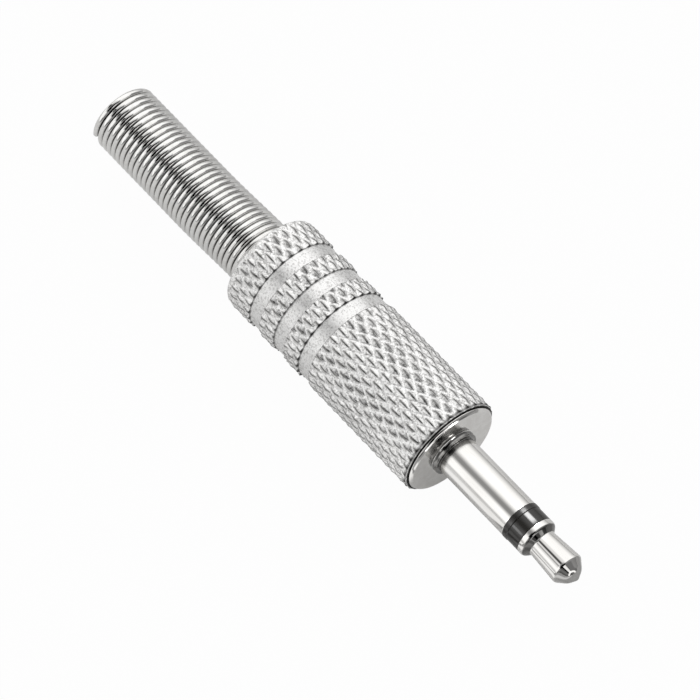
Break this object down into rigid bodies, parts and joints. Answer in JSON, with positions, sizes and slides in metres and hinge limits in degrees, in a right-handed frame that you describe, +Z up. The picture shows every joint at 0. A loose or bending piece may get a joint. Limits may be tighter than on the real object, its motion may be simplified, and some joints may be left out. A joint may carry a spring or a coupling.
{
  "type": "mono jack plug",
  "caption": "Slim mono jack plug: round sleeve and pointed tip with a black ring between, flange, knurled screw-on barrel and close-wound spring that guards the cable from bending.",
  "frame": {"origin": "centre of the flange's front face, where the sleeve starts", "axes": "+X along the plug's axis towards the tip, +Z up as it lies on its barrel"},
  "size_m": [0.0557, 0.009, 0.009],
  "materials": {
    "satin_nickel": "satin nickel plate on knurled brass",
    "bright_nickel": "bright nickel plate on turned brass",
    "spring_wire": "bright nickel plate on spring wire",
    "black_plastic": "glossy black moulding",
    "tube_plastic": "milky extruded tube",
    "washer_fibre": "brown laminated fibre",
    "tinned_brass": "tin plate on stamped brass"
  },
  "bodies": {
    "plug_core": {"plug_sleeve": "bright_nickel", "tip_insulator": "black_plastic", "tip_contact": "bright_nickel", "sleeve_lug": "tinned_brass", "rear_washer": "washer_fibre", "tip_lug": "tinned_brass"},
    "spring": {"strain_relief_spring": "spring_wire"},
    "shell": {"barrel": "satin_nickel", "insulating_tube": "tube_plastic"}
  },
  "joints": [
    {"name": "spring_slide", "type": "slide", "parent": "plug_core", "child": "spring", "axis": [-1, 0, 0], "range_m": [0, 0.00375]},
    {"name": "barrel_unscrew", "type": "hinge", "parent": "spring", "child": "shell", "pos_m": [-0.011, 0, 0], "axis": [-1, 0, 0], "range_deg": [0, 1800]}
  ],
  "couplings": [
    {"joint": "barrel_unscrew", "follows": "spring_slide", "rad_per_m": 8377.6}
  ]
}
